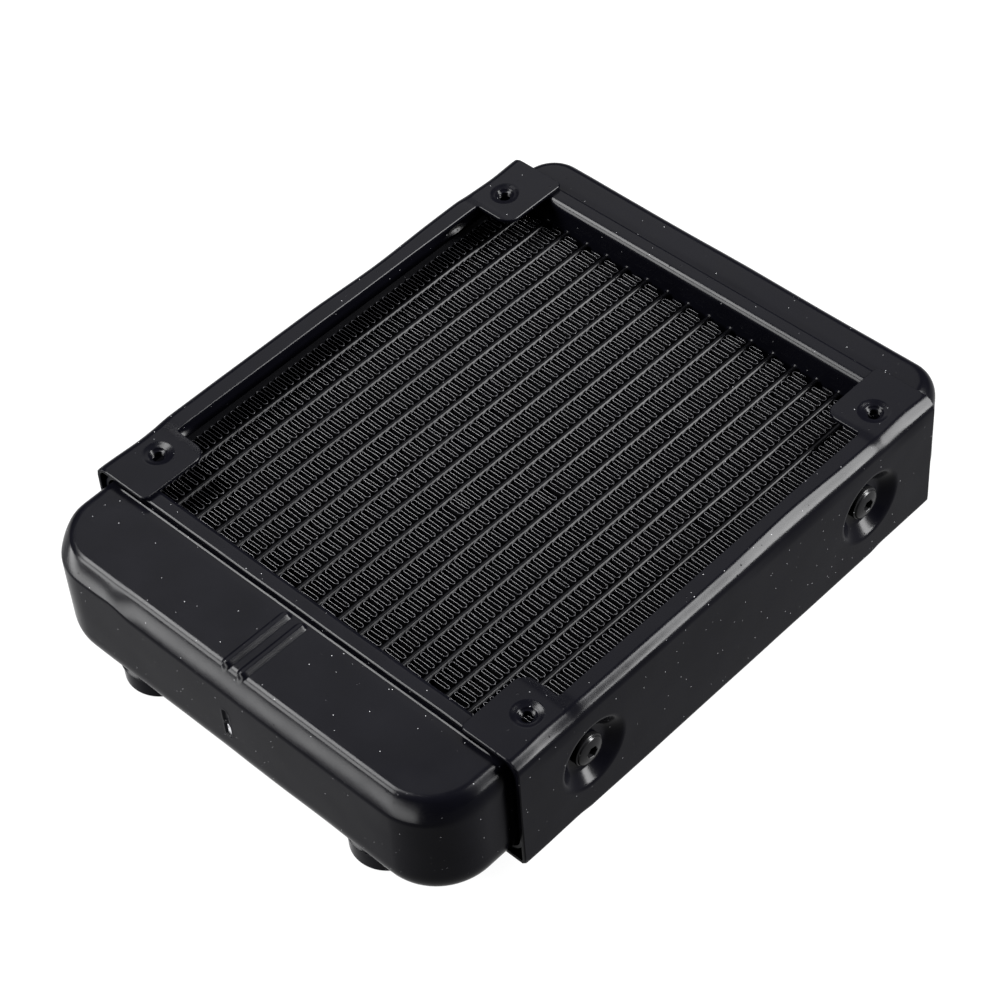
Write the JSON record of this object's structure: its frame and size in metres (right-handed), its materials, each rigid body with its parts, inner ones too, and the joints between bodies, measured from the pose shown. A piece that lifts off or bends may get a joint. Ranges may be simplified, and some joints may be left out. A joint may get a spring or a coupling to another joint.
{
  "type": "liquid cooling radiator",
  "caption": "Liquid cooling radiator: flat-tube and folded-fin core between end tanks, folded side plates with tapped fan ears, threaded ports under the deeper tank.",
  "frame": {"origin": "centre of the square fan hole pattern, on the lower fan face (the outside of the side plates' lower ears)", "axes": "+X across the tubes, +Y along the tubes away from the tank with the ports, +Z through the core towards the upper fan face"},
  "size_m": [0.1202, 0.1567, 0.0347],
  "materials": {
    "satin_black_paint": "satin-gloss black stoving paint on pressed aluminium, fine dust nibs",
    "core_black_paint": "thin black paint on brazed aluminium",
    "fin_black_paint": "thin black paint on fin strip, with brighter edges",
    "boss_black_paint": "satin black paint outside, bare turned thread inside",
    "bare_aluminium": "mill finish, brazed",
    "black_oxide_steel": "black oxide, slightly worn"
  },
  "bodies": {
    "root": {"core_channel_left": "core_black_paint", "core_channel_right": "core_black_paint", "fin_01": "fin_black_paint", "fin_02": "fin_black_paint", "fin_03": "fin_black_paint", "fin_04": "fin_black_paint", "fin_05": "fin_black_paint", "fin_06": "fin_black_paint", "fin_07": "fin_black_paint", "fin_08": "fin_black_paint", "fin_09": "fin_black_paint", "fin_10": "fin_black_paint", "fin_11": "fin_black_paint", "fin_12": "fin_black_paint", "fin_13": "fin_black_paint", "fin_14": "fin_black_paint", "fin_15": "fin_black_paint", "fin_16": "fin_black_paint", "fin_17": "fin_black_paint", "fin_18": "fin_black_paint", "fin_19": "fin_black_paint", "inlet_boss": "boss_black_paint", "outlet_boss": "boss_black_paint", "port_baffle": "bare_aluminium", "port_header": "satin_black_paint", "port_tank": "satin_black_paint", "return_header": "satin_black_paint", "return_tank": "satin_black_paint", "side_plate_left": "satin_black_paint", "side_plate_right": "satin_black_paint", "side_screws": "black_oxide_steel", "tube_01": "core_black_paint", "tube_02": "core_black_paint", "tube_03": "core_black_paint", "tube_04": "core_black_paint", "tube_05": "core_black_paint", "tube_06": "core_black_paint", "tube_07": "core_black_paint", "tube_08": "core_black_paint", "tube_09": "core_black_paint", "tube_10": "core_black_paint", "tube_11": "core_black_paint", "tube_12": "core_black_paint", "tube_13": "core_black_paint", "tube_14": "core_black_paint", "tube_15": "core_black_paint", "tube_16": "core_black_paint", "tube_17": "core_black_paint", "tube_18": "core_black_paint"}
  },
  "joints": []
}
